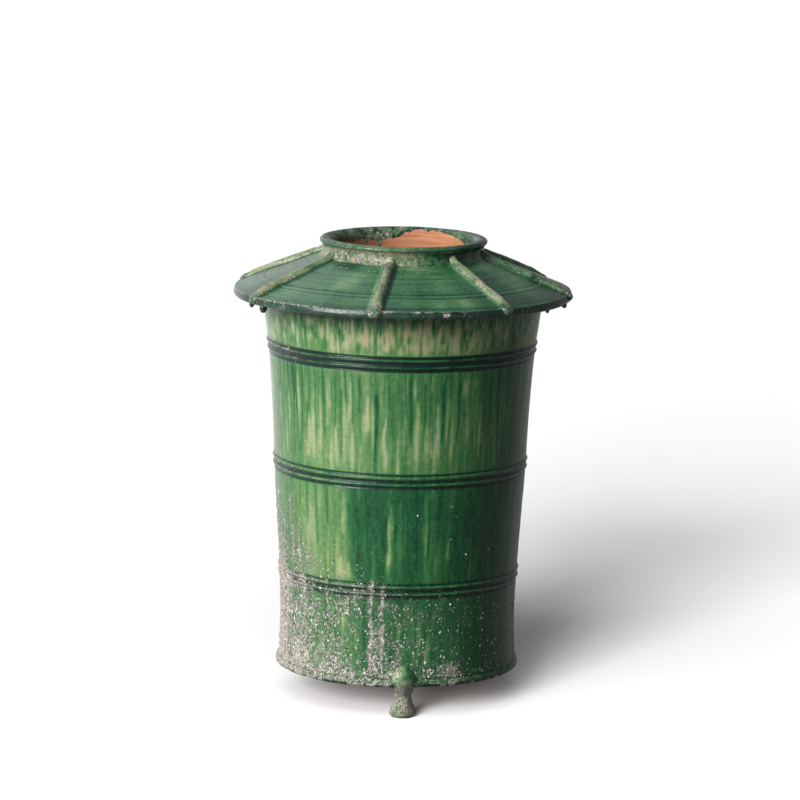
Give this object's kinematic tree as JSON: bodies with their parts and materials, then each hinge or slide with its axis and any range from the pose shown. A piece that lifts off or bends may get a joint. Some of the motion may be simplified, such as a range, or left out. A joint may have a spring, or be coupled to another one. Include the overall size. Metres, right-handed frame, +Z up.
{
  "type": "pottery granary jar",
  "caption": "Round green-glazed pottery granary jar: banded drum on small feet, conical ridged roof with overhanging eave and a short open collar mouth.",
  "frame": {"origin": "on the jar's axis, on the surface that the three feet stand on", "axes": "+Z up along the jar's axis, -Y towards the front foot, +X to the right of the front"},
  "size_m": [0.2324, 0.2327, 0.32],
  "materials": {
    "green_glaze": "glossy green lead glaze over red earthenware",
    "roof_glaze": "glossy green lead glaze, darker on the roof",
    "pale_glaze": "thin worn green glaze over red earthenware",
    "glaze_beads": "thick dark green glaze",
    "bare_clay": "unglazed red earthenware, matt"
  },
  "bodies": {
    "root": {"wall": "green_glaze", "base_disc": "green_glaze", "roof": "roof_glaze", "mouth_collar": "roof_glaze", "roof_ridge_1": "pale_glaze", "roof_ridge_2": "pale_glaze", "roof_ridge_3": "pale_glaze", "roof_ridge_4": "pale_glaze", "roof_ridge_5": "pale_glaze", "roof_ridge_6": "pale_glaze", "roof_ridge_7": "pale_glaze", "roof_ridge_8": "pale_glaze", "foot_front": "pale_glaze", "foot_rear_right": "pale_glaze", "foot_rear_left": "pale_glaze", "eave_glaze_drips": "glaze_beads", "floor_seam_coil": "bare_clay", "roof_seam_coil": "bare_clay"}
  },
  "joints": []
}
